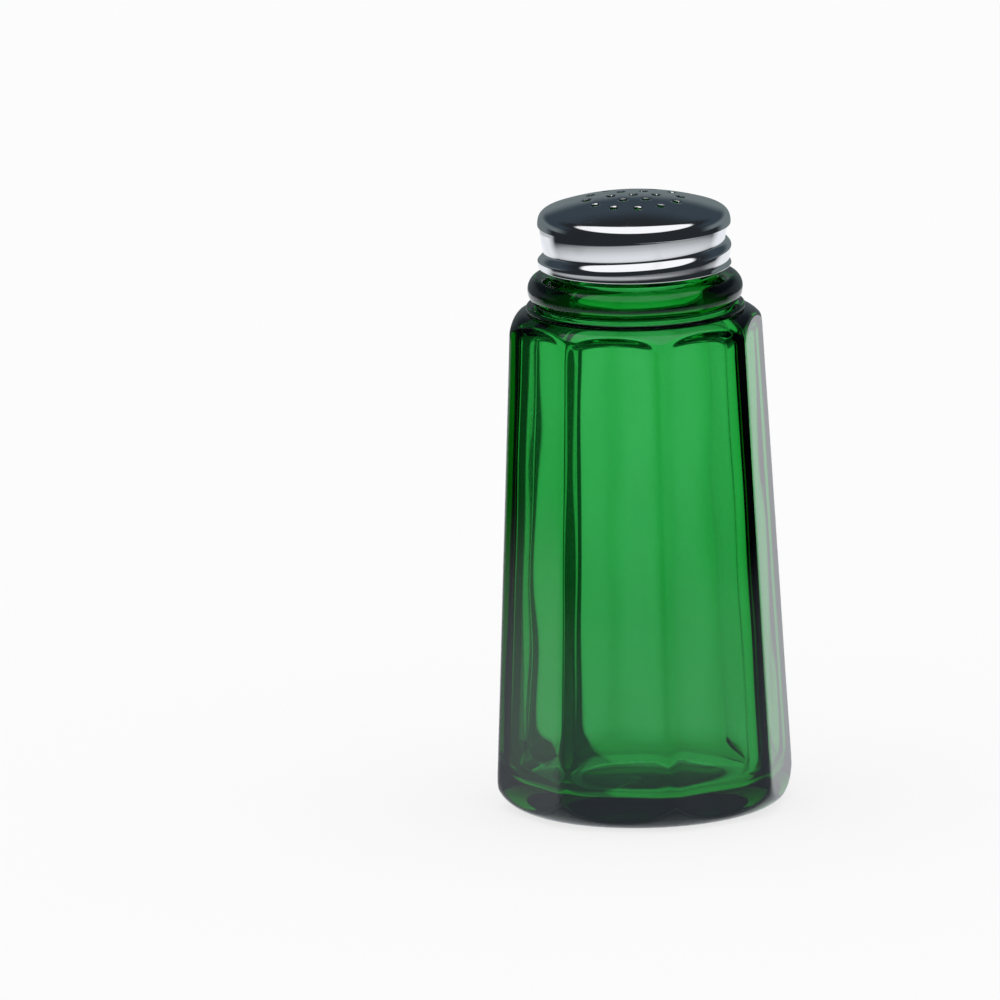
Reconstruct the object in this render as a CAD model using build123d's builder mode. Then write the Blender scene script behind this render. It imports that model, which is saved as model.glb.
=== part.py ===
"""Screw-top table shaker: an eight-sided pressed-glass jar, a stamped metal cap with dispensing holes,
and the sealing ring that sits between them.

Millimetres, +Z up. The origin is on the resting plane, on the axis that the jar, ring and cap share.
Angles are measured from the front, which is -Y, towards +X, so the first flat of the jar faces front.
"""
from build123d import *
import os
from math import atan, cos, degrees, radians, sin, tan

os.makedirs("parts", exist_ok=True)

# ---------------------------------------------------------------------------------------------------
# Driving dimensions
# ---------------------------------------------------------------------------------------------------
OVERALL_HEIGHT = 102.0

# Body of the jar
SIDES = 8
BODY_CORNER_RADIUS_LOW = 24.9       # axis to a corner of the octagon, at the top of the heel
BODY_CORNER_RADIUS_HIGH = 21.4      # the same, at the foot of the shoulder
CORNER_ROUNDING = 2.0
HEEL_RADIUS = 5.5
SHOULDER_START = 78.9
SHOULDER_RISE = 3.9
SHOULDER_DEPTH = 4.0
TURNING_ALLOWANCE = 0.05            # keeps the turned outline clear of the corners between heel and shoulder
PUSH_UP_RADIUS = 13.0
PUSH_UP_RISE = 0.8

# Inside of the jar
WALL = 3.3
CAVITY_FLOOR = 6.0
CAVITY_FLOOR_ROUNDING = 4.0
CAVITY_CORNER_ROUNDING = 7.0
CAVITY_CORNER_REACH = 1.1           # how far the turned inside reaches past the flats, into the corners
CAVITY_SHOULDER_START = 76.5
CAVITY_SHOULDER_RISE = 5.0          # half-axes of the shoulder's elliptical start
CAVITY_SHOULDER_DEPTH = 4.0
CAVITY_SHOULDER_SLOPE = 60.0        # steepest lean of the shoulder, from the vertical
CAVITY_NECK_ROUNDING = 4.0
MOUTH_RADIUS = 10.8

# Finish of the jar: thin ring, transfer bead, neck and lip
THIN_RING_RADIUS = 18.0
THIN_RING_HEIGHT = 83.35
THIN_RING_SECTION = 0.55
GROOVE_RADIUS = 15.9
TRANSFER_BEAD_RADIUS = 17.4
TRANSFER_BEAD_HEIGHT = 86.6
TRANSFER_BEAD_HALF_WIDTH = 1.95
NECK_RADIUS = 13.9
LIP_HEIGHT = 98.0
LIP_ROUNDING = 1.0

# Screw thread, right-handed, six turns to the inch, shared by the jar and the cap
PITCH = 25.4 / 6
THREAD_ANGLE = 11.25                # the thread's middle passes this angle at THREAD_HEIGHT
THREAD_HEIGHT = 92.5
END_RAMP_ANGLE = 32.0
END_RAMP_REACH = 5.0                # size of the block that cuts each ramp, well past the ridge's section
JAR_THREAD_SPAN = (-172.0, 150.0)   # degrees either side of THREAD_ANGLE
CAP_THREAD_SPAN = (-320.0, 165.0)   # runs out below the hem, so that the jar's thread can enter
JAR_THREAD_CREST_RADIUS = 15.15
JAR_THREAD_CREST_WIDTH = 0.8
JAR_THREAD_FLANK = 0.55             # axial width of one flank
THREAD_ROOT_EMBED = 0.4             # how far each ridge is sunk in its wall
THREAD_PLAY = 0.3                   # axial play on each side of the jar's thread

# Cap
METAL = 0.4
DOME_RADIUS = 45.0
DOME_EDGE_RADIUS = 14.3
RIM_RADIUS = 15.9
RIM_HEIGHT = 98.2
RIM_ROUNDING_POINT = (15.4, 98.95)  # half-way round from the dome to the rim
RIM_ROUNDING_ANGLE = 45.0           # direction that the surface faces there, above the horizontal
RIM_CURL_RADIUS = 15.2
RIM_CURL_HEIGHT = 97.0
RIM_UNDERSIDE_HEIGHT = 96.1
CAP_NECK_RADIUS = 14.75
CAP_BEAD_RADIUS = 16.0
CAP_BEAD_CREST_WIDTH = 1.5
CAP_BEAD_FLANK = 0.95
FLARE_START = 91.5
HEM_RADIUS = 15.8
HEM_HEIGHT = 89.8

# Dispensing holes
HOLE_DIAMETER = 1.3
HOLE_RINGS = (
    (0.0, 1, 0.0),                  # ring radius, number of holes, angle of the first
    (3.7, 6, 43.75),
    (7.7, 12, 16.25),
)

# Sealing ring
SEAL_INNER_RADIUS = 11.3
SEAL_OUTER_RADIUS = 15.0
SEAL_EDGE_THICKNESS = 0.4
SEAL_SHOULDER_RADIUS = 14.1
SEAL_GAP = 0.15                     # to the underside of the dome

# ---------------------------------------------------------------------------------------------------
# Sizes worked out from the driving dimensions
# ---------------------------------------------------------------------------------------------------
HALF_SIDE_ANGLE = 180 / SIDES
BODY_TOP = SHOULDER_START + SHOULDER_RISE
CORNER_TAPER = (BODY_CORNER_RADIUS_LOW - BODY_CORNER_RADIUS_HIGH) / (SHOULDER_START - HEEL_RADIUS)
DOME_CENTRE_HEIGHT = OVERALL_HEIGHT - DOME_RADIUS
CAP_GROOVE_RADIUS = CAP_BEAD_RADIUS - METAL
CAP_GROOVE_CREST_WIDTH = JAR_THREAD_CREST_WIDTH + 2 * THREAD_PLAY


def flat_radius(height):
    """Axis to the middle of a flat of the tapered body, at a height."""
    corner_radius = BODY_CORNER_RADIUS_LOW - CORNER_TAPER * (height - HEEL_RADIUS)
    return corner_radius * cos(radians(HALF_SIDE_ANGLE))


def dome_height(radius, inset):
    """Height of the dome at a radius, on the surface that lies an inset inside the outer one."""
    return DOME_CENTRE_HEIGHT + ((DOME_RADIUS - inset) ** 2 - radius ** 2) ** 0.5


def turn_from_x(angle):
    """Rotation about +Z that carries +X to an angle measured from the front."""
    return angle - 90


# ---------------------------------------------------------------------------------------------------
# Shared forms
# ---------------------------------------------------------------------------------------------------
def tapered_octagon(low, high, inset, rounding):
    """Eight-sided tapered block whose flats lie an inset inside the jar's outer flats."""
    with BuildPart() as block:
        for height in (low, high):
            with BuildSketch(Plane.XY.offset(height)) as section:
                RegularPolygon(flat_radius(height) - inset, SIDES, False, rotation=HALF_SIDE_ANGLE)
                fillet(section.vertices(), rounding)
        loft(ruled=True)
    return block.part


def helical_ridge(root_radius, crest_radius, crest_width, flank, span):
    """Ridge with sloping flanks, wound on the shared thread line and ramped down at both ends."""
    first, last = span
    rise = (last - first) / 360 * PITCH
    height = crest_radius - root_radius
    half_crest = crest_width / 2
    half_root = half_crest + flank
    ends = ((0, 0, -END_RAMP_ANGLE), (last - first, rise, END_RAMP_ANGLE))
    with BuildPart() as ridge:
        with BuildLine():
            path = Helix(PITCH, rise, crest_radius)
        with BuildSketch(Plane(path @ 0, x_dir=(1, 0, 0), z_dir=path % 0)):
            Polygon(
                (-height, half_root), (0, half_crest), (0, -half_crest), (-height, -half_root), align=None
            )
        sweep(path=path, is_frenet=True)
        for angle, end_height, ramp in ends:
            end = Location((0, 0, end_height), (0, 0, angle)) * Location((root_radius, 0, 0), (0, 0, ramp))
            with Locations(end):
                Box(END_RAMP_REACH, END_RAMP_REACH, PITCH,
                    align=(Align.MIN, Align.CENTER, Align.CENTER), mode=Mode.SUBTRACT)
    start_height = THREAD_HEIGHT + first / 360 * PITCH
    return ridge.part.moved(Location((0, 0, start_height), (0, 0, turn_from_x(THREAD_ANGLE + first))))


# ---------------------------------------------------------------------------------------------------
# Glass jar
# ---------------------------------------------------------------------------------------------------
def body_outline():
    """Turned form that rounds the heel and the shoulder of the eight-sided body."""
    side_low = BODY_CORNER_RADIUS_LOW + TURNING_ALLOWANCE
    side_high = BODY_CORNER_RADIUS_HIGH + TURNING_ALLOWANCE
    with BuildPart() as outline:
        with BuildSketch(Plane.XZ):
            with BuildLine():
                foot = Line((0, 0), (side_low - HEEL_RADIUS, 0))
                heel = CenterArc((side_low - HEEL_RADIUS, HEEL_RADIUS), HEEL_RADIUS, 270, 90)
                Line(heel @ 1, (side_high, SHOULDER_START))
                shoulder = EllipticalCenterArc(
                    (side_high - SHOULDER_DEPTH, SHOULDER_START), SHOULDER_DEPTH, SHOULDER_RISE, 0, arc_size=90
                )
                Polyline(shoulder @ 1, (0, BODY_TOP), foot @ 0)
            make_face()
        revolve(axis=Axis.Z)
    return outline.part


def cavity_outline():
    """Turned form of the inside: rounded floor edge, tapering wall, sloping shoulder and straight mouth."""
    side_low = flat_radius(CAVITY_FLOOR) - WALL + CAVITY_CORNER_REACH
    side_high = flat_radius(CAVITY_SHOULDER_START) - WALL + CAVITY_CORNER_REACH
    slope = radians(CAVITY_SHOULDER_SLOPE)
    shoulder_turn = degrees(atan(tan(slope) * CAVITY_SHOULDER_RISE / CAVITY_SHOULDER_DEPTH))
    slope_end_radius = MOUTH_RADIUS + CAVITY_NECK_ROUNDING * (1 - cos(slope))
    with BuildPart() as outline:
        with BuildSketch(Plane.XZ):
            with BuildLine():
                floor = Line((0, CAVITY_FLOOR), (side_low - CAVITY_FLOOR_ROUNDING, CAVITY_FLOOR))
                floor_edge = CenterArc(
                    (side_low - CAVITY_FLOOR_ROUNDING, CAVITY_FLOOR + CAVITY_FLOOR_ROUNDING),
                    CAVITY_FLOOR_ROUNDING, 270, 90,
                )
                Line(floor_edge @ 1, (side_high, CAVITY_SHOULDER_START))
                shoulder = EllipticalCenterArc(
                    (side_high - CAVITY_SHOULDER_DEPTH, CAVITY_SHOULDER_START),
                    CAVITY_SHOULDER_DEPTH, CAVITY_SHOULDER_RISE, 0, arc_size=shoulder_turn,
                )
                slope_length = ((shoulder @ 1).X - slope_end_radius) / sin(slope)
                slope_line = PolarLine(shoulder @ 1, slope_length, 90 + CAVITY_SHOULDER_SLOPE)
                neck_round = JernArc(
                    slope_line @ 1, slope_line % 1, CAVITY_NECK_ROUNDING, -CAVITY_SHOULDER_SLOPE
                )
                Polyline(neck_round @ 1, (MOUTH_RADIUS, LIP_HEIGHT), (0, LIP_HEIGHT), floor @ 0)
            make_face()
        revolve(axis=Axis.Z)
    return outline.part


def jar_finish():
    """Turned neck with its lip, transfer bead, groove and thin ring, as a solid plug."""
    with BuildPart() as finish:
        with BuildSketch(Plane.XZ) as neck:
            with Locations((0, SHOULDER_START)):
                Rectangle(NECK_RADIUS, LIP_HEIGHT - SHOULDER_START, align=Align.MIN)
                Rectangle(GROOVE_RADIUS, TRANSFER_BEAD_HEIGHT - SHOULDER_START, align=Align.MIN)
            with Locations((GROOVE_RADIUS, TRANSFER_BEAD_HEIGHT)):
                Ellipse(TRANSFER_BEAD_RADIUS - GROOVE_RADIUS, TRANSFER_BEAD_HALF_WIDTH)
            with Locations((THIN_RING_RADIUS - THIN_RING_SECTION, THIN_RING_HEIGHT)):
                Circle(THIN_RING_SECTION)
            with Locations((GROOVE_RADIUS, BODY_TOP)):
                Rectangle(THIN_RING_RADIUS - THIN_RING_SECTION - GROOVE_RADIUS,
                          THIN_RING_HEIGHT - BODY_TOP, align=Align.MIN)
        revolve(axis=Axis.Z)
    return finish.part


body_block = tapered_octagon(0, BODY_TOP, 0, CORNER_ROUNDING)
cavity_block = tapered_octagon(CAVITY_FLOOR, LIP_HEIGHT, WALL, CAVITY_CORNER_ROUNDING)
body_form = body_outline()
cavity_form = cavity_outline()
finish_form = jar_finish()
jar_thread = helical_ridge(
    NECK_RADIUS - THREAD_ROOT_EMBED, JAR_THREAD_CREST_RADIUS,
    JAR_THREAD_CREST_WIDTH, JAR_THREAD_FLANK, JAR_THREAD_SPAN,
)
push_up_sphere = (PUSH_UP_RADIUS ** 2 + PUSH_UP_RISE ** 2) / (2 * PUSH_UP_RISE)

with BuildPart() as cavity:
    add(cavity_block)
    add(cavity_form, mode=Mode.INTERSECT)

with BuildPart() as glass_jar:
    add(body_block)
    add(body_form, mode=Mode.INTERSECT)
    add(finish_form)
    add(cavity.part, mode=Mode.SUBTRACT)
    lip_edges = glass_jar.edges().filter_by(GeomType.CIRCLE).group_by(Axis.Z)[-1]
    fillet(lip_edges, LIP_ROUNDING)
    add(jar_thread)
    with Locations((0, 0, PUSH_UP_RISE - push_up_sphere)):
        Sphere(push_up_sphere, mode=Mode.SUBTRACT)

glass_jar.part.label = "glass_jar"
export_step(glass_jar.part, "parts/glass_jar.step")


# ---------------------------------------------------------------------------------------------------
# Cap
# ---------------------------------------------------------------------------------------------------
def cap_outline(inset):
    """Solid of the cap's outer surface, or of a surface that lies an inset inside it."""
    dome_edge = DOME_EDGE_RADIUS * (DOME_RADIUS - inset) / DOME_RADIUS
    rounding_radius, rounding_height = RIM_ROUNDING_POINT
    rounding_point = (
        rounding_radius - inset * cos(radians(RIM_ROUNDING_ANGLE)),
        rounding_height - inset * sin(radians(RIM_ROUNDING_ANGLE)),
    )
    neck = CAP_NECK_RADIUS - inset
    hem_top = HEM_HEIGHT + METAL - inset
    with BuildPart() as outline:
        with BuildSketch(Plane.XZ):
            with BuildLine():
                dome = RadiusArc(
                    (0, OVERALL_HEIGHT - inset), (dome_edge, dome_height(dome_edge, inset)),
                    DOME_RADIUS - inset,
                )
                rim = ThreePointArc(dome @ 1, rounding_point, (RIM_RADIUS - inset, RIM_HEIGHT))
                Line(rim @ 1, (RIM_RADIUS - inset, RIM_CURL_HEIGHT))
                curl = EllipticalCenterArc(
                    (RIM_CURL_RADIUS, RIM_CURL_HEIGHT), RIM_RADIUS - RIM_CURL_RADIUS - inset,
                    RIM_CURL_HEIGHT - RIM_UNDERSIDE_HEIGHT - inset, 0, arc_size=-90,
                )
                underside = Polyline(curl @ 1, (neck, RIM_UNDERSIDE_HEIGHT + inset), (neck, FLARE_START))
                flare = EllipticalCenterArc(
                    (HEM_RADIUS, FLARE_START), HEM_RADIUS - neck, FLARE_START - hem_top, 180, arc_size=90
                )
                Polyline(flare @ 1, (0, hem_top), dome @ 0)
            make_face()
        revolve(axis=Axis.Z)
    return outline.part


cap_outside = cap_outline(0)
cap_inside = cap_outline(METAL)
cap_bead = helical_ridge(
    CAP_NECK_RADIUS - THREAD_ROOT_EMBED, CAP_BEAD_RADIUS,
    CAP_BEAD_CREST_WIDTH, CAP_BEAD_FLANK, CAP_THREAD_SPAN,
)
cap_groove = helical_ridge(
    CAP_NECK_RADIUS - METAL - THREAD_ROOT_EMBED, CAP_GROOVE_RADIUS,
    CAP_GROOVE_CREST_WIDTH, JAR_THREAD_FLANK, CAP_THREAD_SPAN,
)

with BuildPart() as shaker_cap:
    add(cap_outside)
    add(cap_bead)
    add(cap_inside, mode=Mode.SUBTRACT)
    add(cap_groove, mode=Mode.SUBTRACT)
    with Locations((0, 0, HEM_HEIGHT)):
        Cylinder(OVERALL_HEIGHT, PITCH, align=(Align.CENTER, Align.CENTER, Align.MAX), mode=Mode.SUBTRACT)
    for ring_radius, hole_count, first_angle in HOLE_RINGS:
        with Locations((0, 0, RIM_HEIGHT)):
            with PolarLocations(ring_radius, hole_count, start_angle=turn_from_x(first_angle)):
                Cylinder(HOLE_DIAMETER / 2, OVERALL_HEIGHT - RIM_HEIGHT,
                         align=(Align.CENTER, Align.CENTER, Align.MIN), mode=Mode.SUBTRACT)

shaker_cap.part.label = "shaker_cap"
export_step(shaker_cap.part, "parts/shaker_cap.step")

# ---------------------------------------------------------------------------------------------------
# Sealing ring, flat on the lip and shaped to the dome above, caught inside the cap's rim
# ---------------------------------------------------------------------------------------------------
dome_inset = METAL + SEAL_GAP

with BuildPart() as seal_ring:
    with BuildSketch(Plane.XZ):
        Polygon(
            (SEAL_INNER_RADIUS, LIP_HEIGHT),
            (SEAL_OUTER_RADIUS, LIP_HEIGHT),
            (SEAL_OUTER_RADIUS, LIP_HEIGHT + SEAL_EDGE_THICKNESS),
            (SEAL_SHOULDER_RADIUS, dome_height(SEAL_SHOULDER_RADIUS, dome_inset)),
            (SEAL_INNER_RADIUS, dome_height(SEAL_INNER_RADIUS, dome_inset)),
            align=None,
        )
    revolve(axis=Axis.Z)

seal_ring.part.label = "seal_ring"
export_step(seal_ring.part, "parts/seal_ring.step")
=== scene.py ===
"""Table shaker in green pressed glass with a stamped, plated cap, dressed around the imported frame."""
from math import atan, cos, degrees, pi, radians, sin, sqrt, tan

import bpy
import numpy as np
from mathutils import Matrix, Vector
from mathutils.geometry import delaunay_2d_cdt


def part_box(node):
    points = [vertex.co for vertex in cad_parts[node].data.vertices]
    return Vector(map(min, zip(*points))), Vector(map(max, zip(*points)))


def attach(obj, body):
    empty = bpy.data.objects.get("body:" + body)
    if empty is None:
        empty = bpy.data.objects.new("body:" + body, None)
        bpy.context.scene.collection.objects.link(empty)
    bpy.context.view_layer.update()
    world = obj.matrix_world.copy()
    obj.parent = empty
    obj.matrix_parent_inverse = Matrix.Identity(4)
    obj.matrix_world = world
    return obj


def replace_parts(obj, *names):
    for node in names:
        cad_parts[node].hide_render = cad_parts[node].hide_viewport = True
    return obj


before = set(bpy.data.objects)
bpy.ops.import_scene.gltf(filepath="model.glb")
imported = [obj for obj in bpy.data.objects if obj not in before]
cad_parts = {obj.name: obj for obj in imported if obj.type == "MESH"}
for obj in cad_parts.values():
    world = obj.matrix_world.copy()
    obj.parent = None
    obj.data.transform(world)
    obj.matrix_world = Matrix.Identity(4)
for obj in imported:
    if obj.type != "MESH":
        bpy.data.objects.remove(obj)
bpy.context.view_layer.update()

# ---------------------------------------------------------------------------------------------------
# Sizes, in millimetres, as the frame has them. MM turns them into the scene's metres.
# ---------------------------------------------------------------------------------------------------
MM = 0.001
cap_low, cap_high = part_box("shaker_cap")
_, jar_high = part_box("glass_jar")
OVERALL = cap_high.z / MM
HEM = cap_low.z / MM + 0.45
LIP = jar_high.z / MM

# Jar, outside. Corner radii are from the axis to a corner of the octagon, at the heel and at the shoulder.
SIDES = 8
SIDE_ANGLE = 2 * pi / SIDES
CORNER_LOW = 24.9
CORNER_HIGH = 21.4
CORNER_ROUND = 2.0
HEEL = 5.5
SHOULDER_START = 78.9
SHOULDER_RISE = 3.9
SHOULDER_DEPTH = 4.0
TURNING_ALLOWANCE = 0.05
EDGE_SOFTNESS = 0.5
SHOULDER_TURN = 88
PUSH_UP_START = 0.4
PUSH_UP_RADIUS = 13.0
PUSH_UP_RISE = 0.8
SEAM_ANGLE = -SIDE_ANGLE / 2
SEAM_RISE = 0.06
SEAM_HALF = 0.13
SEAM_START = (3, 6)  # heights
OUTER_RIPPLE = 0.03
OUTER_RIPPLE_START = (2, 12)  # heights

# Jar, inside.
WALL = 3.3
FLOOR = 4.5
FLOOR_ROUND = 4.0
FLOOR_SHARES = (0.9, 0.03)  # first and last ring of the flat floor, as shares of its edge
CAVITY_ROUND = 7.0
CAVITY_REACH = 1.1
CAVITY_SOFTNESS = 1.5
CAVITY_SHOULDER = 76.5
CAVITY_SHOULDER_RISE = 5.0
CAVITY_SHOULDER_DEPTH = 4.0
CAVITY_SLOPE = 60
CAVITY_NECK_ROUND = 4.0
MOUTH = 10.8
INNER_RIPPLE = 0.12
INNER_RIPPLE_START = (4, 12)  # radii
FLOOR_RIPPLE_START = (8, 15)  # radii

# Jar, from the ring on the shoulder to the lip.
RING_RADIUS = 18.0
RING_HEIGHT = 83.35
RING_SECTION = 0.55
RING_ARC = (-75, 100)
RING_FOOT = (0.25, 0.75)  # past the groove, above the ring's middle
GROOVE = 15.9
BEAD_RADIUS = 17.7
BEAD_HEIGHT = 86.4
BEAD_HALF = 2.25
BEAD_ARC = (-80, 90)
BEAD_FOOT = ((0.4, 0.1), (0.0, 0.5))  # past the neck, above the bead
NECK = 13.9
LIP_ROUND = 1.0

# Thread line of jar and cap: it passes THREAD_ANGLE at THREAD_HEIGHT. Spans are in degrees to either side.
PITCH = 25.4 / 6
THREAD_ANGLE = radians(11.25)
THREAD_HEIGHT = 92.4
JAR_THREAD_CREST = 15.15
JAR_THREAD_HALF = 0.3
JAR_THREAD_FLANK = 0.75
JAR_THREAD_SPAN = (-172, 150)
JAR_THREAD_FADE = 16
JAR_THREAD_TOP = (1.6, 0.8)  # below the lip
CAP_THREAD_SPAN = (-320, 165)
CAP_THREAD_FADE = 25

# Cap. CAP_THREAD gives (height over the thread line, reach past the skirt) from the trough down to the hem.
METAL = 0.4
DOME_RADIUS = 45.0
DOME_EDGE = 14.3
RIM = 15.88
RIM_LOW = 97.15
RIM_EASE = (1.15, 1.55)
SKIRT_TOP = 97.08
CAP_SKIRT = 15.5
CAP_THREAD = (
    (4.8, 0.0), (4.4, -0.012), (4.0, -0.045), (3.6, -0.09), (3.2, -0.145), (2.8, -0.215), (2.4, -0.30),
    (2.0, -0.40), (1.7, -0.475), (1.5, -0.515), (1.38, -0.525), (1.26, -0.515), (1.12, -0.46), (0.2, 0.33),
    (0.05, 0.42), (-0.12, 0.455), (-0.3, 0.46), (-0.55, 0.457), (-0.8, 0.444), (-1.1, 0.424), (-1.4, 0.405),
    (-1.7, 0.392), (-2.1, 0.38), (-2.9, 0.22), (-3.8, 0.07), (-4.4, 0.0))
HEM_RADIUS = 15.88
HEM_ROUND = 0.2
HEM_BLEND = (0.15, 1.3)  # above the hem
INNER_TOP = 0.2  # of the straight inside, above the skirt's top
INNER_RIM = ((15.38, 97.7), (15.26, 98.3), (15.02, 98.75))
INNER_DOME_EDGE = DOME_EDGE - 0.13

# Holes: rings of (radius, count, first angle in degrees), in a patch that is triangulated apart.
HOLE_RADIUS = 0.65
HOLE_RINGS = ((0.0, 1, 0.0), (3.7, 6, 43.75), (7.7, 12, 16.25))
HOLE_SEGMENTS = 28
LIP_RADIUS = 0.75
LIP_DEPTH = 0.13
DIMPLE_RADIUS = 1.2
DIMPLE_DEPTH = 0.04
DIMPLE_POWER = 1.8
DIMPLE_STEPS = (HOLE_RADIUS, LIP_RADIUS, 0.80, 0.87, 0.96, 1.08, 1.22)
PATCH_RADIUS = 9.8
PATCH_SPACING = 0.6
PATCH_CLEAR = (0.35, 1.5)  # from the patch's edge, from a hole's centre
PATCH_MERGE = 1e-7
IN_HOLE = 0.97  # a triangle whose middle is nearer than this share of a hole's radius is in the hole
CAP_SHARP = 68  # degrees

# Seal.
SEAL_INNER = 11.3
SEAL_OUTER = 15.0
SEAL_GAP = 0.15
SEAL_EDGE = 0.4
SEAL_SHOULDER = 14.1
SEAL_ROUNDS = (0.15, 0.12)  # inside, outside
SEAL_CHAMFER = 0.2


# ---------------------------------------------------------------------------------------------------
# Mesh helpers
# ---------------------------------------------------------------------------------------------------
def around(per_side, bunching=0.8):
    """Angles round the axis from +X, bunched at the octagon's corners."""
    u = np.linspace(-1, 1, per_side, endpoint=False)
    side = SIDE_ANGLE / 2 * ((1 - bunching) * u + bunching * np.sin(u * pi / 2))
    return np.concatenate([side + SIDE_ANGLE * k for k in range(SIDES)])


def evenly(count):
    """Even angles round the axis from +X."""
    return np.arange(count) * 2 * pi / count


def octagon(angle, flat, rounding):
    """Radius at an angle of an octagon with that distance to its flats and rounded corners."""
    off_flat = np.abs((angle + SIDE_ANGLE / 2) % SIDE_ANGLE - SIDE_ANGLE / 2)
    tangent = np.arctan((flat - rounding) * tan(SIDE_ANGLE / 2) / flat)
    centre = (flat - rounding) / cos(SIDE_ANGLE / 2)
    off_corner = SIDE_ANGLE / 2 - off_flat
    side = np.sqrt(np.maximum(rounding ** 2 - (centre * np.sin(off_corner)) ** 2, 0))
    return np.where(off_flat <= tangent, flat / np.cos(off_flat), centre * np.cos(off_corner) + side)


def soft_min(a, b, softness):
    """The smaller of two values, rounded where they meet."""
    h = np.maximum(softness - np.abs(a - b), 0) / softness
    return np.minimum(a, b) - h * h * softness / 4


def smooth_step(x, low, high):
    """Smooth rise from 0 at low to 1 at high."""
    t = np.clip((x - low) / (high - low), 0, 1)
    return t * t * (3 - 2 * t)


def curve(x, at, values):
    """Smooth line through given values, level where they turn round."""
    at, values = np.array(at), np.array(values)
    steps = np.diff(values) / np.diff(at)
    same_way = steps[:-1] * steps[1:] > 0
    slope = np.zeros(len(at))
    total = np.where(same_way, steps[:-1] + steps[1:], 1)
    slope[1:-1] = np.where(same_way, 2 * steps[:-1] * steps[1:] / total, 0)
    x = np.clip(x, at[0], at[-1])
    i = np.clip(np.searchsorted(at, x) - 1, 0, len(at) - 2)
    width = at[i + 1] - at[i]
    t = (x - at[i]) / width
    return ((2 * t ** 3 - 3 * t ** 2 + 1) * values[i] + (t ** 3 - 2 * t ** 2 + t) * width * slope[i]
            + (3 * t ** 2 - 2 * t ** 3) * values[i + 1] + (t ** 3 - t ** 2) * width * slope[i + 1])


def arc(centre, radii, start, end, count):
    """Points of an elliptical arc in the (radius, height) plane, in degrees, first point left out."""
    t = np.radians(np.linspace(start, end, count + 1)[1:])
    return [(centre[0] + radii[0] * cos(a), centre[1] + radii[1] * sin(a)) for a in t]


def straight(start, end, count):
    """Points of a straight run in the (radius, height) plane, first point left out."""
    return [tuple(p) for p in np.linspace(start, end, count + 1)[1:]]


def new_mesh(name, vertices, faces):
    """A smooth-shaded object of those vertices and faces."""
    mesh = bpy.data.meshes.new(name)
    mesh.from_pydata([tuple(v) for v in vertices], [], faces)
    mesh.polygons.foreach_set("use_smooth", [True] * len(mesh.polygons))
    mesh.validate()
    mesh.update()
    obj = bpy.data.objects.new(name, mesh)
    bpy.context.collection.objects.link(obj)
    return obj


def turned_faces(rows, count, closed=False):
    """Quads between successive rings of vertices."""
    faces = []
    for i in range(rows if closed else rows - 1):
        low = i * count
        high = ((i + 1) % rows) * count
        for j in range(count):
            k = (j + 1) % count
            faces.append((low + j, low + k, high + k, high + j))
    return faces


def to_points(radius, height, angles):
    """Ring of points, in metres."""
    height = np.full(len(angles), height)
    return np.stack([radius * np.cos(angles), radius * np.sin(angles), height], axis=-1) * MM


# ---------------------------------------------------------------------------------------------------
# Thread line shared by jar and cap
# ---------------------------------------------------------------------------------------------------
def thread_laps(angles, height, span, fade_angle):
    """For each lap of a ridge on the thread line: height above its middle, and its presence from 0 to 1."""
    turned = (angles + pi / 2 - THREAD_ANGLE + pi) % (2 * pi) - pi
    low, high, soft = radians(span[0]), radians(span[1]), radians(fade_angle)
    for lap in (-1, 0, 1):
        on_line = turned + 2 * pi * lap
        ends = smooth_step(on_line, low, low + soft) * (1 - smooth_step(on_line, high - soft, high))
        yield height - THREAD_HEIGHT - on_line / (2 * pi) * PITCH, ends


def jar_thread(angles, height):
    """How far the jar's thread stands out from the neck at each place."""
    ridge = np.zeros_like(angles)
    for off, ends in thread_laps(angles, height, JAR_THREAD_SPAN, JAR_THREAD_FADE):
        flank = smooth_step(np.abs(off), JAR_THREAD_HALF, JAR_THREAD_HALF + JAR_THREAD_FLANK)
        ridge = np.maximum(ridge, (1 - flank) * ends)
    below_lip = smooth_step(height, LIP - JAR_THREAD_TOP[0], LIP - JAR_THREAD_TOP[1])
    return (JAR_THREAD_CREST - NECK) * ridge * (1 - below_lip)


# ---------------------------------------------------------------------------------------------------
# Glass jar
# ---------------------------------------------------------------------------------------------------
OUTER_WAVES = ((3, 0.11, 0.4), (5, -0.07, 2.1), (8, 0.16, 4.0), (2, 0.23, 5.2))
INNER_WAVES = ((2, 0.09, 1.3), (4, -0.13, 0.2), (7, 0.10, 3.3), (9, -0.21, 2.6), (3, 0.31, 5.0))


def flat_radius(height):
    """Distance from the axis to the octagon's flats."""
    taper = (CORNER_LOW - CORNER_HIGH) / (SHOULDER_START - HEEL)
    return (CORNER_LOW - taper * (height - HEEL)) * cos(SIDE_ANGLE / 2)


def ripple(angles, height, size, waves):
    """Slow unevenness of pressed glass, from waves of (turns round the axis, radians per mm, phase)."""
    total = np.zeros_like(angles)
    for turns, per_mm, phase in waves:
        total = total + np.sin(turns * angles + per_mm * height + phase)
    return total * size / len(waves)


def seams(angles, height):
    """The two fine mould seams, down opposite corners."""
    off = (angles - SEAM_ANGLE + pi / 2) % pi - pi / 2
    return SEAM_RISE * np.exp(-(off * CORNER_HIGH / SEAM_HALF) ** 2) * smooth_step(height, *SEAM_START)


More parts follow.
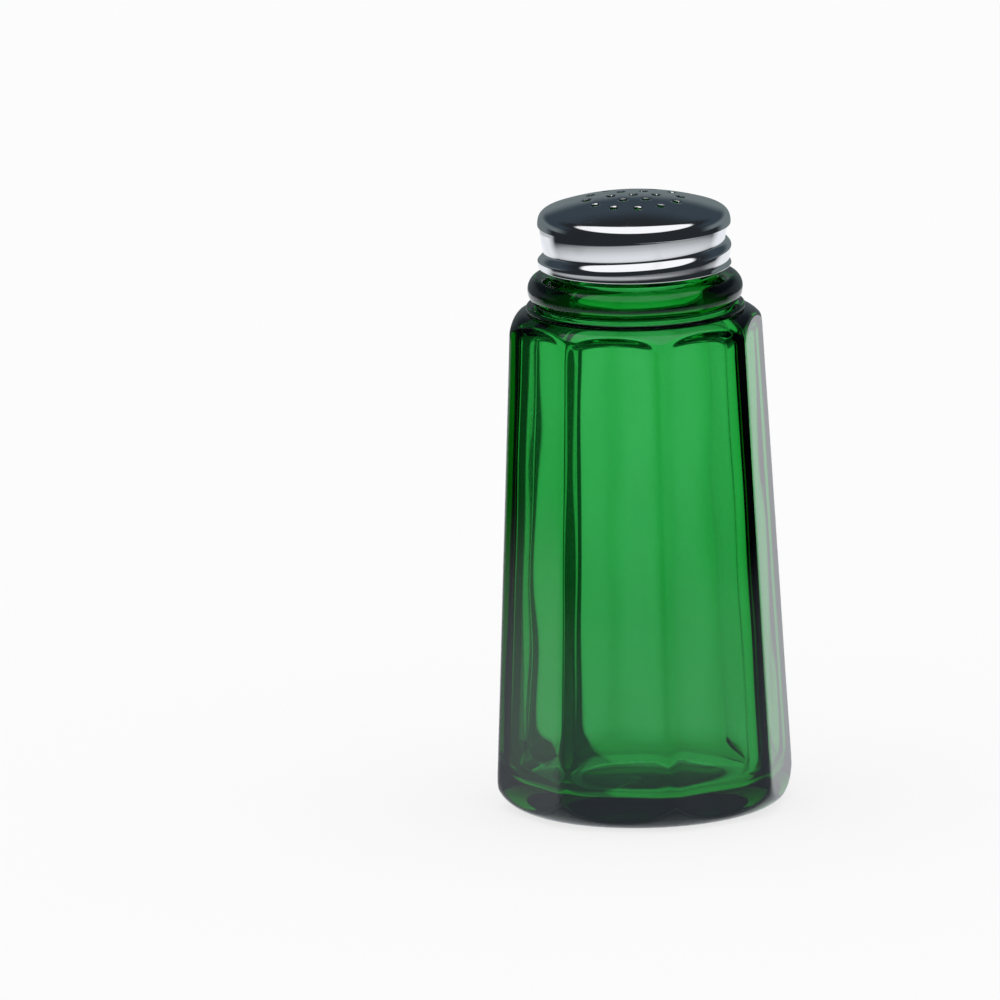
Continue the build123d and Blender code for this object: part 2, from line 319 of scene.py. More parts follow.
def jar_outer_rows():
    """The jar's outer outline from the middle of the foot to the lip, and how many rows are the body's."""
    side_low = CORNER_LOW + TURNING_ALLOWANCE
    side_high = CORNER_HIGH + TURNING_ALLOWANCE
    foot = np.linspace(PUSH_UP_START, PUSH_UP_RADIUS, 9)
    rows = [(r, PUSH_UP_RISE * (1 - (r / PUSH_UP_RADIUS) ** 2)) for r in foot]
    rows += straight((PUSH_UP_RADIUS, 0), (side_low - HEEL, 0), 5)
    rows += arc((side_low - HEEL, HEEL), (HEEL, HEEL), -90, 0, 30)
    rows += straight((side_low, HEEL), (side_high, SHOULDER_START), 56)
    rows += arc((side_high - SHOULDER_DEPTH, SHOULDER_START), (SHOULDER_DEPTH, SHOULDER_RISE),
                0, SHOULDER_TURN, 36)
    body_count = len(rows)
    bead_top = BEAD_HEIGHT + BEAD_HALF
    rows += arc((RING_RADIUS - RING_SECTION, RING_HEIGHT), (RING_SECTION, RING_SECTION), *RING_ARC, 14)
    rows += straight(rows[-1], (GROOVE + RING_FOOT[0], RING_HEIGHT + RING_FOOT[1]), 3)
    rows += arc((GROOVE, BEAD_HEIGHT), (BEAD_RADIUS - GROOVE, BEAD_HALF), *BEAD_ARC, 26)
    for (past, above), count in zip(BEAD_FOOT, (4, 3)):
        rows += straight(rows[-1], (NECK + past, bead_top + above), count)
    rows += straight(rows[-1], (NECK, LIP - LIP_ROUND), 44)
    rows += arc((NECK - LIP_ROUND, LIP - LIP_ROUND), (LIP_ROUND, LIP_ROUND), 0, 90, 9)
    return rows, body_count


def jar_inner_rows():
    """The jar's inner outline from the lip down to the start of the floor's rounding."""
    side_low = flat_radius(FLOOR) - WALL + CAVITY_REACH
    side_high = flat_radius(CAVITY_SHOULDER) - WALL + CAVITY_REACH
    tilt = radians(CAVITY_SLOPE)
    turn = degrees(atan(tan(tilt) * CAVITY_SHOULDER_RISE / CAVITY_SHOULDER_DEPTH))
    shoulder = arc((side_high - CAVITY_SHOULDER_DEPTH, CAVITY_SHOULDER),
                   (CAVITY_SHOULDER_DEPTH, CAVITY_SHOULDER_RISE), turn, 0, 26)
    neck_round = MOUTH + CAVITY_NECK_ROUND
    slope_end_radius = neck_round - CAVITY_NECK_ROUND * cos(tilt)
    slope_start = (side_high - CAVITY_SHOULDER_DEPTH + CAVITY_SHOULDER_DEPTH * cos(radians(turn)),
                   CAVITY_SHOULDER + CAVITY_SHOULDER_RISE * sin(radians(turn)))
    slope_end = (slope_end_radius, slope_start[1] + (slope_start[0] - slope_end_radius) / tan(tilt))
    neck_low = slope_end[1] + CAVITY_NECK_ROUND * sin(tilt)
    rows = [(MOUTH + LIP_ROUND, LIP)]
    rows += arc((MOUTH + LIP_ROUND, LIP - LIP_ROUND), (LIP_ROUND, LIP_ROUND), 90, 180, 9)
    rows += straight(rows[-1], (MOUTH, neck_low), 12)
    rows += arc((neck_round, neck_low), (CAVITY_NECK_ROUND, CAVITY_NECK_ROUND), 180, 180 + CAVITY_SLOPE, 18)
    rows += straight(rows[-1], slope_start, 4)
    rows += shoulder
    rows += straight((side_high, CAVITY_SHOULDER), (side_low, FLOOR + FLOOR_ROUND), 50)
    return rows


def jar_floor_rings(angles):
    """Inside rings of the eight-sided floor: its rounded edge, then rings that shrink to the axis."""
    rings = []
    for inset, height in arc((FLOOR_ROUND, FLOOR + FLOOR_ROUND), (-FLOOR_ROUND, FLOOR_ROUND), 0, -90, 20):
        turned = flat_radius(height) - WALL + CAVITY_REACH - inset
        inside = octagon(angles, flat_radius(height) - WALL - inset, CAVITY_ROUND - inset)
        rings.append((soft_min(np.full(len(angles), turned), inside, CAVITY_SOFTNESS), height))
    edge = rings[-1][0]
    rings += [(edge * share, FLOOR) for share in np.linspace(*FLOOR_SHARES, 9)]
    return rings


def make_jar(per_side=32):
    angles = around(per_side)
    count = len(angles)
    outer, body_count = jar_outer_rows()
    rings = []
    for i, (radius, height) in enumerate(outer):
        ring = np.full(count, float(radius))
        if i < body_count:
            ring = soft_min(ring, octagon(angles, flat_radius(height), CORNER_ROUND), EDGE_SOFTNESS)
            uneven = ripple(angles, height, OUTER_RIPPLE, OUTER_WAVES)
            ring = ring + uneven * smooth_step(height, *OUTER_RIPPLE_START)
            ring = ring + seams(angles, height)
        elif height > BEAD_HEIGHT + BEAD_HALF:
            ring = ring + jar_thread(angles, height)
        rings.append(to_points(ring, height, angles))
    for radius, height in jar_inner_rows():
        ring = np.full(count, float(radius))
        if height < BEAD_HEIGHT:
            inside = octagon(angles, flat_radius(height) - WALL, CAVITY_ROUND)
            ring = soft_min(ring, inside, CAVITY_SOFTNESS)
            uneven = ripple(angles, height, INNER_RIPPLE, INNER_WAVES)
            ring = ring + uneven * smooth_step(radius, *INNER_RIPPLE_START)
        rings.append(to_points(ring, height, angles))
    for ring, height in jar_floor_rings(angles):
        uneven = ripple(angles, height, INNER_RIPPLE, INNER_WAVES)
        ring = ring + uneven * smooth_step(ring, *FLOOR_RIPPLE_START)
        rings.append(to_points(ring, height, angles))
    rows = len(rings)
    centres = np.array([[0, 0, PUSH_UP_RISE * MM], [0, 0, FLOOR * MM]])
    vertices = np.concatenate([*rings, centres])
    faces = turned_faces(rows, count)
    foot, floor = rows * count, rows * count + 1
    last = (rows - 1) * count
    for j in range(count):
        k = (j + 1) % count
        faces.append((foot, k, j))
        faces.append((floor, last + j, last + k))
    return new_mesh("jar_glass", vertices, faces)


# ---------------------------------------------------------------------------------------------------
# Cap
# ---------------------------------------------------------------------------------------------------
def dome(radius, inset=0.0):
    """Height of the dome at a radius, or of a surface that lies that far under it."""
    return OVERALL - DOME_RADIUS + np.sqrt((DOME_RADIUS - inset) ** 2 - radius ** 2)


def cap_outer_rows():
    """The cap's outer surface from the edge of the pierced patch to the hem."""
    rows = [(r, dome(r)) for r in np.linspace(PATCH_RADIUS, DOME_EDGE, 14)]
    edge = np.array(rows[-1])
    foot = np.array([RIM, RIM_LOW])
    slope = np.array([sqrt(DOME_RADIUS ** 2 - DOME_EDGE ** 2), -DOME_EDGE]) / DOME_RADIUS
    after_edge, before_foot = edge + RIM_EASE[0] * slope, foot + (0, RIM_EASE[1])
    for t in np.linspace(0, 1, 27)[1:]:
        rows.append(tuple((1 - t) ** 3 * edge + 3 * t * (1 - t) ** 2 * after_edge
                          + 3 * t * t * (1 - t) * before_foot + t ** 3 * foot))
    rows += straight(rows[-1], (CAP_SKIRT, SKIRT_TOP), 2)
    rows += straight(rows[-1], (CAP_SKIRT, HEM + HEM_ROUND), 170)
    return rows


def cap_inner_rows():
    """The cap's inner surface from the hem back to the edge of the pierced patch."""
    skirt = CAP_SKIRT - METAL
    rows = straight((skirt, HEM + HEM_ROUND), (skirt, SKIRT_TOP + INNER_TOP), 56)
    for place in INNER_RIM:
        rows += straight(rows[-1], place, 3)
    rows += straight(rows[-1], (INNER_DOME_EDGE, dome(INNER_DOME_EDGE, METAL)), 4)
    rows += [(r, dome(r, METAL)) for r in np.linspace(INNER_DOME_EDGE, PATCH_RADIUS, 11)[1:]]
    return rows


def cap_thread(ring, angles, height):
    """Draws a ring of the cap's skirt in to the thread's trough, out to its crest and out to the hem."""
    off_line, reach = zip(*reversed(CAP_THREAD))
    above_hem = smooth_step(height, HEM + HEM_BLEND[0], HEM + HEM_BLEND[1])
    ring = ring + (HEM_RADIUS - CAP_SKIRT) * (1 - above_hem)
    for off, ends in thread_laps(angles, height, CAP_THREAD_SPAN, CAP_THREAD_FADE):
        ring = ring + curve(off, off_line, reach) * ends * above_hem
    return ring


def skirt_rings(rows, angles):
    """Rings of points of the cap's outer or inner outline, with the thread drawn in below the rim."""
    for radius, height in rows:
        ring = np.full(len(angles), float(radius))
        if height < SKIRT_TOP:
            ring = cap_thread(ring, angles, height)
        yield to_points(ring, height, angles)


def hole_centres():
    centres = []
    for radius, count, first in HOLE_RINGS:
        for k in range(count):
            a = radians(first - 90) + 2 * pi * k / count
            centres.append((radius * cos(a), radius * sin(a)))
    return np.array(centres)


def pierced_patch(count):
    """Flat triangulation of the patch with the holes: points, triangles, loops round the holes, edge."""
    centres = hole_centres()
    points = [(PATCH_RADIUS * cos(2 * pi * j / count), PATCH_RADIUS * sin(2 * pi * j / count))
              for j in range(count)]
    edges = [(j, (j + 1) % count) for j in range(count)]
    loops = []
    for cx, cy in centres:
        for k, radius in enumerate(DIMPLE_STEPS):
            start = len(points)
            turns = [2 * pi * (j + 0.5 * (k % 2)) / HOLE_SEGMENTS for j in range(HOLE_SEGMENTS)]
            points += [(cx + radius * cos(a), cy + radius * sin(a)) for a in turns]
            if k == 0:
                loops.append(list(range(start, start + HOLE_SEGMENTS)))
                edges += [(start + j, start + (j + 1) % HOLE_SEGMENTS) for j in range(HOLE_SEGMENTS)]
    reach = int(PATCH_RADIUS / PATCH_SPACING) + 1
    from_edge, from_hole = PATCH_CLEAR
    for i in range(-reach, reach + 1):
        for j in range(-reach, reach + 1):
            x = (i + 0.5 * (j % 2)) * PATCH_SPACING
            y = j * PATCH_SPACING * sqrt(3) / 2
            inside = np.hypot(x, y) < PATCH_RADIUS - from_edge
            if inside and np.hypot(*(centres - (x, y)).T).min() > from_hole:
                points.append((x, y))
    verts, _, tris, sources = delaunay_2d_cdt([Vector(p) for p in points], edges, [], 1, PATCH_MERGE)[:4]
    index = {old: new for new, olds in enumerate(sources) for old in olds}
    verts = np.array([tuple(v) for v in verts])
    keep = []
    for tri in tris:
        middle = verts[list(tri)].mean(0)
        if np.hypot(*(centres - middle).T).min() > HOLE_RADIUS * IN_HOLE:
            keep.append(tuple(tri))
    return verts, keep, [[index[i] for i in loop] for loop in loops], [index[j] for j in range(count)]


def dimple(points, lip_depth):
    """How far the sheet is drawn down round the nearest hole, with a steeper lip at the hole itself."""
    off = np.min([np.hypot(points[:, 0] - x, points[:, 1] - y) for x, y in hole_centres()], axis=0)
    drawn = np.clip((DIMPLE_RADIUS - off) / (DIMPLE_RADIUS - LIP_RADIUS), 0, 1)
    lip = np.clip((LIP_RADIUS - off) / (LIP_RADIUS - HOLE_RADIUS), 0, 1)
    return DIMPLE_DEPTH * drawn ** DIMPLE_POWER + lip_depth * lip


def make_cap(count=288):
    angles = evenly(count)
    rings = list(skirt_rings(cap_outer_rows(), angles))
    hem = arc((HEM_RADIUS - HEM_ROUND, HEM + HEM_ROUND), (HEM_ROUND, HEM_ROUND), 0, -180, 10)
    rings += [to_points(radius, height, angles) for radius, height in hem]
    rings += skirt_rings(cap_inner_rows(), angles)
    rows = len(rings)
    faces = [tuple(reversed(f)) for f in turned_faces(rows, count)]
    flat, tris, loops, rim = pierced_patch(count)
    radius = np.hypot(flat[:, 0], flat[:, 1])
    top = np.column_stack([flat, dome(radius) - dimple(flat, LIP_DEPTH)]) * MM
    low = np.column_stack([flat, dome(radius, METAL) - dimple(flat, 0.0)]) * MM
    base_top = rows * count
    base_low = base_top + len(top)
    top_of = {v: base_top + v for v in range(len(top))}
    low_of = {v: base_low + v for v in range(len(low))}
    last = (rows - 1) * count
    for j, v in enumerate(rim):
        top_of[v] = j
        low_of[v] = last + j
    for a, b, c in tris:
        faces.append((top_of[a], top_of[b], top_of[c]))
        faces.append((low_of[c], low_of[b], low_of[a]))
    for loop in loops:
        for v, w in zip(loop, loop[1:] + loop[:1]):
            faces.append((top_of[v], low_of[v], low_of[w], top_of[w]))
    shell = new_mesh("cap_shell", np.concatenate([*rings, top, low]), faces)
    shell.data.set_sharp_from_angle(angle=radians(CAP_SHARP))
    return shell


# ---------------------------------------------------------------------------------------------------
# Sealing ring
# ---------------------------------------------------------------------------------------------------
def make_seal(count=160):
    angles = evenly(count)
    inset = METAL + SEAL_GAP
    inside, outside = SEAL_ROUNDS
    top_inner = SEAL_INNER + SEAL_CHAMFER
    rows = arc((SEAL_INNER + inside, LIP + inside), (inside, inside), 180, 270, 4)
    rows += straight(rows[-1], (SEAL_OUTER - outside, LIP), 8)
    rows += arc((SEAL_OUTER - outside, LIP + outside), (outside, outside), -90, 0, 4)
    rows += straight(rows[-1], (SEAL_OUTER, LIP + SEAL_EDGE), 2)
    rows += straight(rows[-1], (SEAL_SHOULDER, dome(SEAL_SHOULDER, inset)), 6)
    rows += straight(rows[-1], (top_inner, dome(top_inner, inset)), 10)
    rows += [(SEAL_INNER, dome(SEAL_INNER, inset) - SEAL_CHAMFER)]
    rings = [to_points(radius, height, angles) for radius, height in rows]
    return new_mesh("seal_liner", np.concatenate(rings), turned_faces(len(rings), count, closed=True))


# ---------------------------------------------------------------------------------------------------
# Shader helpers
# ---------------------------------------------------------------------------------------------------
def node(tree, kind, **values):
    """A shader node with the given properties."""
    made = tree.nodes.new("ShaderNode" + kind)
    for key, value in values.items():
        setattr(made, key, value)
    return made


def feed(tree, socket, value):
    """Sets a socket to a number or a colour, or links it to another node's output."""
    if isinstance(value, (int, float)):
        socket.default_value = value
    elif isinstance(value, tuple):
        socket.default_value = (*value, 1)
    else:
        tree.links.new(value, socket)


def sums(tree, operation, a, b):
    """Arithmetic on two values, which may be numbers or outputs."""
    made = node(tree, "Math", operation=operation)
    feed(tree, made.inputs[0], a)
    feed(tree, made.inputs[1], b)
    return made.outputs[0]


def product(tree, a, b):
    return sums(tree, "MULTIPLY", a, b)


def larger(tree, a, b):
    return sums(tree, "MAXIMUM", a, b)


def square(tree, value, unit):
    """Square of a value measured in units."""
    scaled = sums(tree, "DIVIDE", value, unit)
    return product(tree, scaled, scaled)


def fade(tree, value, low, high, start=0.0, end=1.0):
    """Smooth change from start to end as a value goes from low to high."""
    made = node(tree, "MapRange", interpolation_type="SMOOTHSTEP", clamp=True)
    sockets = zip(("Value", "From Min", "From Max", "To Min", "To Max"), (value, low, high, start, end))
    for name, number in sockets:
        feed(tree, made.inputs[name], number)
    return made.outputs["Result"]


def blend(tree, factor, a, b):
    """Colour a where the factor is 0, colour b where it is 1."""
    made = node(tree, "Mix", data_type="RGBA")
    feed(tree, made.inputs["Factor"], factor)
    feed(tree, made.inputs[6], a)
    feed(tree, made.inputs[7], b)
    return made.outputs[2]


def vector_node(tree, operation, vector, other=None):
    """A vector operation on a vector output, and where needed on a constant."""
    made = node(tree, "VectorMath", operation=operation)
    tree.links.new(vector, made.inputs[0])
    if other:
        made.inputs[1].default_value = other
    return made


def along(tree, vector, direction):
    """How far a vector reaches along a direction."""
    return vector_node(tree, "DOT_PRODUCT", vector, direction).outputs["Value"]


def noise(tree, place, scale, detail, stretch=None, distortion=0.0):
    """Smooth noise from 0 to 1, with features about 1 / scale metres across."""
    if stretch:
        place = vector_node(tree, "MULTIPLY", place, stretch).outputs[0]
    made = node(tree, "TexNoise")
    tree.links.new(place, made.inputs["Vector"])
    for name, number in (("Scale", scale), ("Detail", detail), ("Distortion", distortion)):
        made.inputs[name].default_value = number
    return made.outputs[0]


def bump(tree, height, depth, below=None):
    """Relief of a height from 0 to 1, depth in metres, laid over another relief."""
    made = node(tree, "Bump")
    made.inputs["Distance"].default_value = depth
    tree.links.new(height, made.inputs["Height"])
    if below is not None:
        tree.links.new(below, made.inputs["Normal"])
    return made.outputs[0]


def material(name):
    """A new material, its node tree and its Principled BSDF."""
    mat = bpy.data.materials.new(name)
    mat.use_nodes = True
    return mat, mat.node_tree, mat.node_tree.nodes["Principled BSDF"]


# ---------------------------------------------------------------------------------------------------
# Materials. A noise is (scale per metre, detail, stretch, distortion), an edge is where it fades from
# 0 to 1, and a depth is in metres.
# ---------------------------------------------------------------------------------------------------
GLASS_SHEEN = (0.52, 0.60, 0.70)
GLASS_COLOUR = (0.17, 0.795, 0.40)
GLASS_DENSITY = 560.0
GLASS_IOR = 1.52
GLASS_WEAR = 0.03
GLASS_SCUFFS, GLASS_SCUFF_EDGE = (900.0, 4.0), (0.60, 0.72)
GLASS_PATCHES, GLASS_PATCH_EDGE = (120.0, 3.0, None, 0.5), (0.45, 0.7)
GLASS_WAVES, GLASS_WAVE_DEPTH = (55.0, 1.0, (1.0, 1.0, 0.45)), 0.00003
GLASS_PEEL, GLASS_PEEL_DEPTH = (420.0, 2.0), 0.0000016

PLATING = (0.81, 0.82, 0.84)
PLATING_FILM = (0.74, 0.75, 0.765)
METAL_ROUGH, FILM_ROUGH, HAIR_ROUGH = 0.04, 0.05, 0.10
METAL_FILM, METAL_FILM_EDGE = (140.0, 5.0, None, 0.8), (0.48, 0.70)
METAL_HAIRS, METAL_HAIR_EDGE = (1.0, 2.0, (9000.0, 260.0, 260.0)), (0.60, 0.68)
METAL_CROSSING, METAL_CROSSING_EDGE = (1.0, 2.0, (300.0, 8200.0, 300.0)), (0.61, 0.69)
METAL_WIPED, METAL_WIPED_EDGE = (210.0, 2.0), (0.42, 0.6)
METAL_HAIR_DEPTH = 0.0000006
METAL_DRAWN, METAL_DRAWN_DEPTH = (90.0, 1.0, (1.0, 1.0, 0.3)), 0.000012
METAL_PEEL, METAL_PEEL_DEPTH = (1500.0, 2.0), 0.0000002

SEAL_TONES = ((0.80, 0.80, 0.76), (0.90, 0.91, 0.88))
SEAL_MOTTLE = (260.0, 4.0)
SEAL_SHEEN, SEAL_SHEEN_EDGE, SEAL_ROUGH = (700.0, 3.0), (0.3, 0.7), (0.36, 0.54)
SEAL_GRAIN, SEAL_GRAIN_DEPTH = (2600.0, 3.0), 0.00001


def glass_material():
    """Clear green glass, with the slow waves of the mould, fine orange peel and rubbed patches."""
    mat, tree, shader = material("green_pressed_glass")
    place = node(tree, "TexCoord").outputs["Object"]
    shader.inputs["Base Color"].default_value = (1, 1, 1, 1)
    shader.inputs["Transmission Weight"].default_value = 1.0
    shader.inputs["IOR"].default_value = GLASS_IOR
    shader.inputs["Specular Tint"].default_value = (*GLASS_SHEEN, 1)
    scuffs = fade(tree, noise(tree, place, *GLASS_SCUFFS), *GLASS_SCUFF_EDGE)
    patches = fade(tree, noise(tree, place, *GLASS_PATCHES), *GLASS_PATCH_EDGE)
    tree.links.new(product(tree, product(tree, scuffs, patches), GLASS_WEAR), shader.inputs["Roughness"])
    waves = bump(tree, noise(tree, place, *GLASS_WAVES), GLASS_WAVE_DEPTH)
    peel = bump(tree, noise(tree, place, *GLASS_PEEL), GLASS_PEEL_DEPTH, waves)
    tree.links.new(peel, shader.inputs["Normal"])
    absorb = node(tree, "VolumeAbsorption")
    absorb.inputs["Color"].default_value = (*GLASS_COLOUR, 1)
    absorb.inputs["Density"].default_value = GLASS_DENSITY
    tree.links.new(absorb.outputs[0], tree.nodes["Material Output"].inputs["Volume"])
    return mat


def metal_material():
    """Bright plating over stamped sheet: ripple of the drawing, hairlines of wiping and a duller film."""
    mat, tree, shader = material("bright_plated_metal")
    place = node(tree, "TexCoord").outputs["Object"]
    shader.inputs["Metallic"].default_value = 1.0
    film = fade(tree, noise(tree, place, *METAL_FILM), *METAL_FILM_EDGE)
    hairs = fade(tree, noise(tree, place, *METAL_HAIRS), *METAL_HAIR_EDGE)
    crossing = fade(tree, noise(tree, place, *METAL_CROSSING), *METAL_CROSSING_EDGE)
    wiped = fade(tree, noise(tree, place, *METAL_WIPED), *METAL_WIPED_EDGE)
    hairs = product(tree, larger(tree, hairs, crossing), wiped)
    tree.links.new(blend(tree, film, PLATING, PLATING_FILM), shader.inputs["Base Color"])
    rough = sums(tree, "ADD", product(tree, film, FILM_ROUGH), product(tree, hairs, HAIR_ROUGH))
    tree.links.new(sums(tree, "ADD", rough, METAL_ROUGH), shader.inputs["Roughness"])
    drawn = bump(tree, noise(tree, place, *METAL_DRAWN), METAL_DRAWN_DEPTH)
    peel = bump(tree, noise(tree, place, *METAL_PEEL), METAL_PEEL_DEPTH, drawn)
    tree.links.new(bump(tree, hairs, METAL_HAIR_DEPTH, peel), shader.inputs["Normal"])
    return mat


def seal_material():
    """Off-white polyethylene, faintly mottled and matt, with a fine moulded grain."""
    mat, tree, shader = material("seal_polyethylene")
    place = node(tree, "TexCoord").outputs["Object"]
    tree.links.new(blend(tree, noise(tree, place, *SEAL_MOTTLE), *SEAL_TONES), shader.inputs["Base Color"])
    rough = fade(tree, noise(tree, place, *SEAL_SHEEN), *SEAL_SHEEN_EDGE, *SEAL_ROUGH)
    tree.links.new(rough, shader.inputs["Roughness"])
    tree.links.new(bump(tree, noise(tree, place, *SEAL_GRAIN), SEAL_GRAIN_DEPTH), shader.inputs["Normal"])
    return mat


# ---------------------------------------------------------------------------------------------------
# Camera
# ---------------------------------------------------------------------------------------------------
VIEW_AZIMUTH = radians(11.25)
VIEW_ELEVATION = radians(12.6)
VIEW_ROLL = radians(1.2)
VIEW_DISTANCE = 4.0
PIXELS_PER_METRE = 6085.0
FRAME_PIXELS = 1000
AIM_HEIGHT = 0.05
AIM_PIXEL = (639.4, 504.0)
SENSOR = 36

# Level directions: towards the camera, to its right and to its left.
AHEAD = (sin(VIEW_AZIMUTH), -cos(VIEW_AZIMUTH), 0)
RIGHT = (cos(VIEW_AZIMUTH), sin(VIEW_AZIMUTH), 0)
LEFT = (-cos(VIEW_AZIMUTH), -sin(VIEW_AZIMUTH), 0)


def make_camera():
    """The camera that fits the photograph, with the point at AIM_HEIGHT on the axis at AIM_PIXEL."""
    level = cos(VIEW_ELEVATION)
    back = Vector((AHEAD[0] * level, AHEAD[1] * level, sin(VIEW_ELEVATION)))
    right = Vector(RIGHT)
    data = bpy.data.cameras.new("camera")
    camera = bpy.data.objects.new("camera", data)
    bpy.context.collection.objects.link(camera)
    bpy.context.scene.camera = camera
    data.sensor_width = SENSOR
    data.lens = PIXELS_PER_METRE * VIEW_DISTANCE / FRAME_PIXELS * SENSOR
    data.clip_end = 5 * VIEW_DISTANCE
    turn = Matrix((right, back.cross(right), back)).transposed() @ Matrix.Rotation(-VIEW_ROLL, 3, "Z")
    axis_right, axis_up, _ = turn.transposed()
    aim = Vector((0, 0, AIM_HEIGHT))
    aim -= axis_right * (AIM_PIXEL[0] - FRAME_PIXELS / 2) / PIXELS_PER_METRE
    aim += axis_up * (AIM_PIXEL[1] - FRAME_PIXELS / 2) / PIXELS_PER_METRE
    camera.matrix_world = Matrix.Translation(aim + back * VIEW_DISTANCE) @ turn.to_4x4()


# ---------------------------------------------------------------------------------------------------
# World and floor. Angles are in degrees, distances on the floor in metres from the axis.
# ---------------------------------------------------------------------------------------------------
BACKDROP = (1.0, 1.0, 1.0)
LOW_ROOM = (0.17, 0.205, 0.215)
MID_ROOM = (0.045, 0.062, 0.080)
DARK_ROOM = (0.022, 0.026, 0.030)
ROOM_TONES = ((LOW_ROOM, 1.0, 9.0), (MID_ROOM, 9.0, 22.0), (DARK_ROOM, 32.0, 46.0))
DARK_FRONT = (-0.35, 0.1)
SOFTBOX = (1.15, 1.15, 1.16)
BOX_ELEVATION = 86.0
BOX_HALF = (0.645, 0.656)
BOX_EDGE = (1.10, 0.92)
BOX_FRONT = (0.0, 0.1)

# Painted shade on the left: a grey tone that only rays coming through the glass meet.
PAINTED_LEFT_SHADE = (0.10, 0.11, 0.115)
PAINTED_SHADE_SIDES = (0.30, 0.40)

FLOOR_HALF = 8.0
FLOOR_TONE = (0.9, 0.9, 0.9)
FLOOR_GLOW = 0.75
# Painted reflection: mirrored, the floor is tinted and turns to dark tones past these distances and sides.
PAINTED_MIRROR_TINT = (0.93, 0.955, 1.0)
PAINTED_SHEET_FRONT = (0.077, 0.335)
PAINTED_SHEET_BACK = (0.42, 0.49)
PAINTED_SHEET_SIDES = (134.0, 112.0)
# Painted shade: through the glass the floor glows less near the jar, fully only further out.
BEHIND_PAINTED_SHADE = (0.05, 0.36)
BEHIND_SHADE_SHARE = 0.62
# Painted light: through the glass the floor glows past these radii; under the jar's foot that glow covers
# its shadow, further out it is the plain white floor.
CONTACT = (0.0125, 0.0165)
AT_AXIS = 1e-4


def painted_shade_at_left(tree, place, rays, far):
    """Where rays that come through the glass meet a painted grey shade on the left, from 0 to 1."""
    left = sums(tree, "DIVIDE", along(tree, place, LEFT), larger(tree, far, AT_AXIS))
    return product(tree, fade(tree, left, *PAINTED_SHADE_SIDES), rays.outputs["Is Transmission Ray"])


def make_world():
    """Dark room over a low white backdrop, with a broad softbox overhead. Seen straight, it is white."""
    world = bpy.data.worlds.new("studio")
    bpy.context.scene.world = world
    world.use_nodes = True
    tree = world.node_tree
    back = tree.nodes["Background"]
    place = node(tree, "TexCoord").outputs["Generated"]
    rays = node(tree, "LightPath")
    mirror = rays.outputs["Is Reflection Ray"]
    lift = radians(BOX_ELEVATION)
    height = along(tree, place, (0, 0, 1))
    facing = along(tree, place, (AHEAD[0] * cos(lift), AHEAD[1] * cos(lift), sin(lift)))
    upward = along(tree, place, (-AHEAD[0] * sin(lift), -AHEAD[1] * sin(lift), cos(lift)))
    across = square(tree, along(tree, place, RIGHT), BOX_HALF[0])
    off_box = sums(tree, "ADD", across, square(tree, upward, BOX_HALF[1]))
    box = product(tree, fade(tree, off_box, *BOX_EDGE), fade(tree, facing, *BOX_FRONT))
    room = blend(tree, mirror, BACKDROP, LOW_ROOM)
    for tone, low, high in ROOM_TONES:
        above = fade(tree, height, sin(radians(low)), sin(radians(high)))
        room = blend(tree, above, room, tone)
    dark_front = product(tree, fade(tree, along(tree, place, AHEAD), *DARK_FRONT), mirror)
    room = blend(tree, dark_front, room, DARK_ROOM)
    # Painted shade on the left, seen only through the glass.
    room = blend(tree, painted_shade_at_left(tree, place, rays, 1.0), room, PAINTED_LEFT_SHADE)
    room = blend(tree, box, room, SOFTBOX)
    plain_ray = larger(tree, rays.outputs["Is Camera Ray"], rays.outputs["Is Diffuse Ray"])
    tree.links.new(blend(tree, plain_ray, room, BACKDROP), back.inputs["Color"])
    back.inputs["Strength"].default_value = 1.0


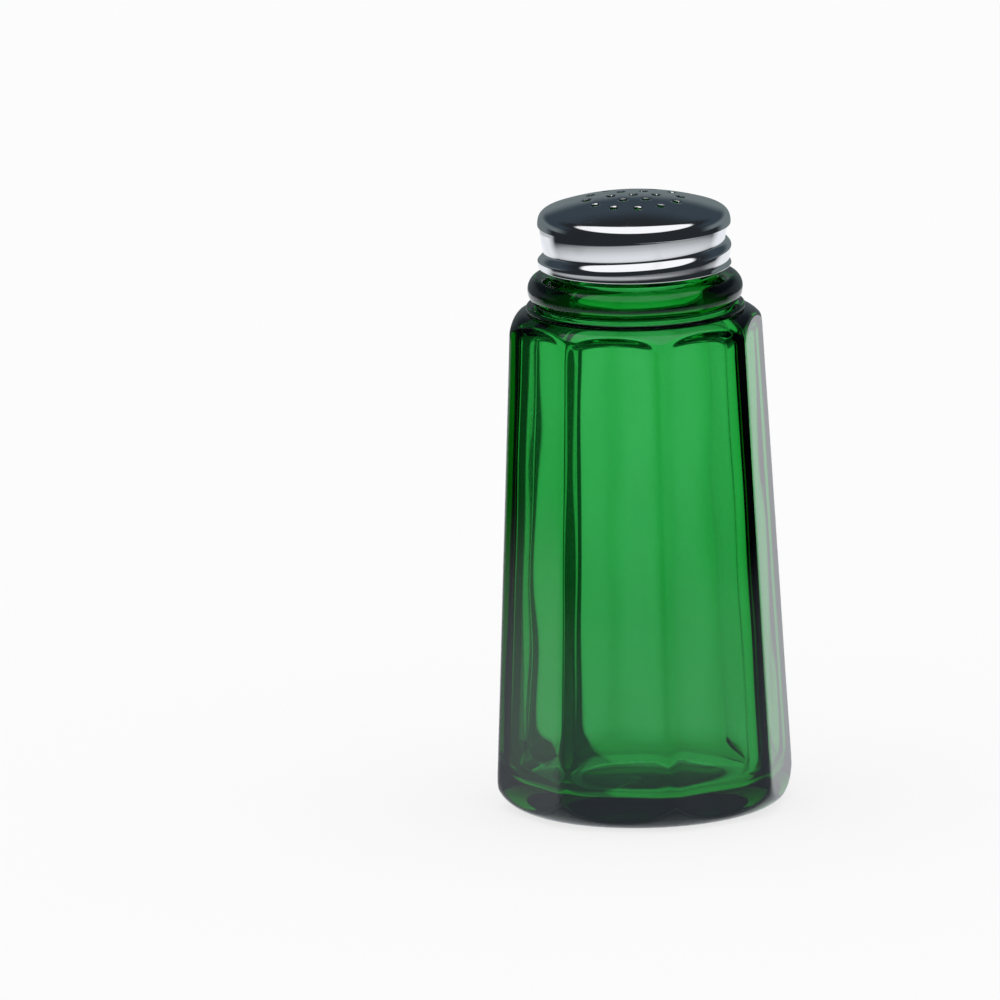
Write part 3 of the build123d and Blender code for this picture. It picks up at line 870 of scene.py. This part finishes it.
def make_floor():
    """Pale floor, near white with the shadow on it; mirrored, it is a painted reflection that ends in dark
    tones.
    """
    mesh = bpy.data.meshes.new("floor")
    s = FLOOR_HALF
    mesh.from_pydata([(-s, -s, 0), (s, -s, 0), (s, s, 0), (-s, s, 0)], [], [(0, 1, 2, 3)])
    floor = bpy.data.objects.new("floor", mesh)
    bpy.context.collection.objects.link(floor)
    mat, tree, shader = material("floor_white")
    shader.inputs["Base Color"].default_value = (*FLOOR_TONE, 1)
    shader.inputs["Roughness"].default_value = 1.0
    shader.inputs["Specular IOR Level"].default_value = 0.0
    glow = node(tree, "Emission")
    place = node(tree, "TexCoord").outputs["Object"]
    far = vector_node(tree, "LENGTH", place).outputs["Value"]
    rays = node(tree, "LightPath")
    mirror = rays.outputs["Is Reflection Ray"]
    through = rays.outputs["Is Transmission Ray"]

    # Painted reflection: mirrored, the floor turns from a pale tint to dark tones further out, soonest
    # towards the camera.
    toward = sums(tree, "DIVIDE", along(tree, place, AHEAD), larger(tree, far, AT_AXIS))
    toward = product(tree, fade(tree, toward, *(cos(radians(a)) for a in PAINTED_SHEET_SIDES)), mirror)
    near_end = product(tree, toward, fade(tree, far, *PAINTED_SHEET_FRONT))
    painted_sheet_end = product(tree, larger(tree, near_end, fade(tree, far, *PAINTED_SHEET_BACK)), mirror)
    sheet = blend(tree, mirror, BACKDROP, PAINTED_MIRROR_TINT)
    tone = blend(tree, painted_sheet_end, sheet, blend(tree, toward, LOW_ROOM, DARK_ROOM))
    # Painted shade on the left, seen only through the glass.
    left_shade = painted_shade_at_left(tree, place, rays, far)
    tree.links.new(blend(tree, left_shade, tone, PAINTED_LEFT_SHADE), glow.inputs["Color"])

    # Painted shade: through the glass the floor glows less near the jar, fully only further out.
    painted_shade_behind = larger(tree, fade(tree, far, *BEHIND_PAINTED_SHADE, BEHIND_SHADE_SHARE, 1.0), sums(tree, "SUBTRACT", 1.0, through))
    tree.links.new(painted_shade_behind, glow.inputs["Strength"])

    # Painted light: through the glass the floor glows past the contact radii; under the jar's foot that
    # glow covers its shadow, further out it is the plain white floor.
    past_contact = product(tree, through, fade(tree, far, *CONTACT))
    mirrored = product(tree, rays.outputs["Is Glossy Ray"], mirror)
    white = larger(tree, rays.outputs["Is Camera Ray"], larger(tree, mirrored, past_contact))
    share = larger(tree, larger(tree, product(tree, white, FLOOR_GLOW), painted_sheet_end), left_shade)
    mix = node(tree, "MixShader")
    tree.links.new(share, mix.inputs[0])
    tree.links.new(shader.outputs[0], mix.inputs[1])
    tree.links.new(glow.outputs[0], mix.inputs[2])
    tree.links.new(mix.outputs[0], tree.nodes["Material Output"].inputs["Surface"])
    floor.data.materials.append(mat)


jar = make_jar()
jar.data.materials.append(glass_material())
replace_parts(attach(jar, "jar"), "glass_jar")

cap = make_cap()
cap.data.materials.append(metal_material())
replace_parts(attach(cap, "cap"), "shaker_cap")

seal = make_seal()
seal.data.materials.append(seal_material())
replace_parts(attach(seal, "seal"), "seal_ring")

make_camera()
make_world()
make_floor()
bpy.context.scene.view_settings.view_transform = "Standard"
